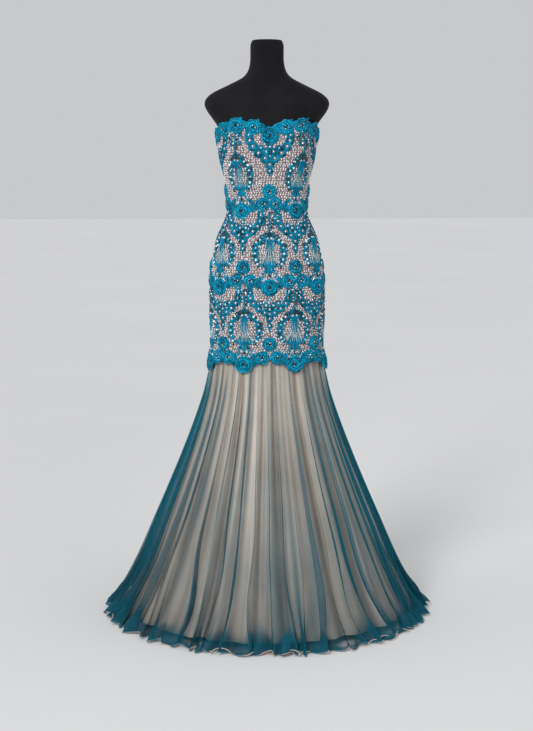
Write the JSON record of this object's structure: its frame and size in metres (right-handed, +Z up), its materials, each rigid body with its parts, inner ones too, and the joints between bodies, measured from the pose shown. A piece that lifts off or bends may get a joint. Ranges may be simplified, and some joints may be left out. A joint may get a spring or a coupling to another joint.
{
  "type": "ballroom gown on dress form",
  "caption": "Strapless trumpet ballroom gown with corded lace over a beaded sheath and a pleated net skirt, on a limbless dress form with a round stand.",
  "frame": {"origin": "on the floor, under the middle of the stand's base", "axes": "+Z up, the gown's front faces -Y, the wearer's left is +X"},
  "size_m": [0.9252, 0.926, 1.582],
  "materials": {
    "blush_ground": "matt net set with pearly beads",
    "turquoise_lace": "corded lace",
    "champagne_satin": "satin",
    "turquoise_tulle": "sheer net",
    "form_jersey": "matt jersey",
    "stand_metal": "satin black",
    "zip_metal": "satin"
  },
  "bodies": {
    "gown_on_form": {"form_torso": "form_jersey", "stand_pole": "stand_metal", "stand_base": "stand_metal", "sheath_front": "blush_ground", "sheath_side_left": "blush_ground", "sheath_side_right": "blush_ground", "sheath_back_left": "blush_ground", "sheath_back_right": "blush_ground", "lace_front": "turquoise_lace", "lace_back_left": "turquoise_lace", "lace_back_right": "turquoise_lace", "satin_front": "champagne_satin", "satin_left": "champagne_satin", "satin_back": "champagne_satin", "satin_right": "champagne_satin", "tulle_front": "turquoise_tulle", "tulle_left": "turquoise_tulle", "tulle_back": "turquoise_tulle", "tulle_right": "turquoise_tulle", "zip_chain": "zip_metal", "zip_slider": "zip_metal"},
    "pull": {"zip_pull": "zip_metal"}
  },
  "joints": [
    {"name": "pull_swing", "type": "hinge", "parent": "gown_on_form", "child": "pull", "pos_m": [0, 0.0943, 1.284], "axis": [1, 0, 0], "range_deg": [0, 150]}
  ]
}
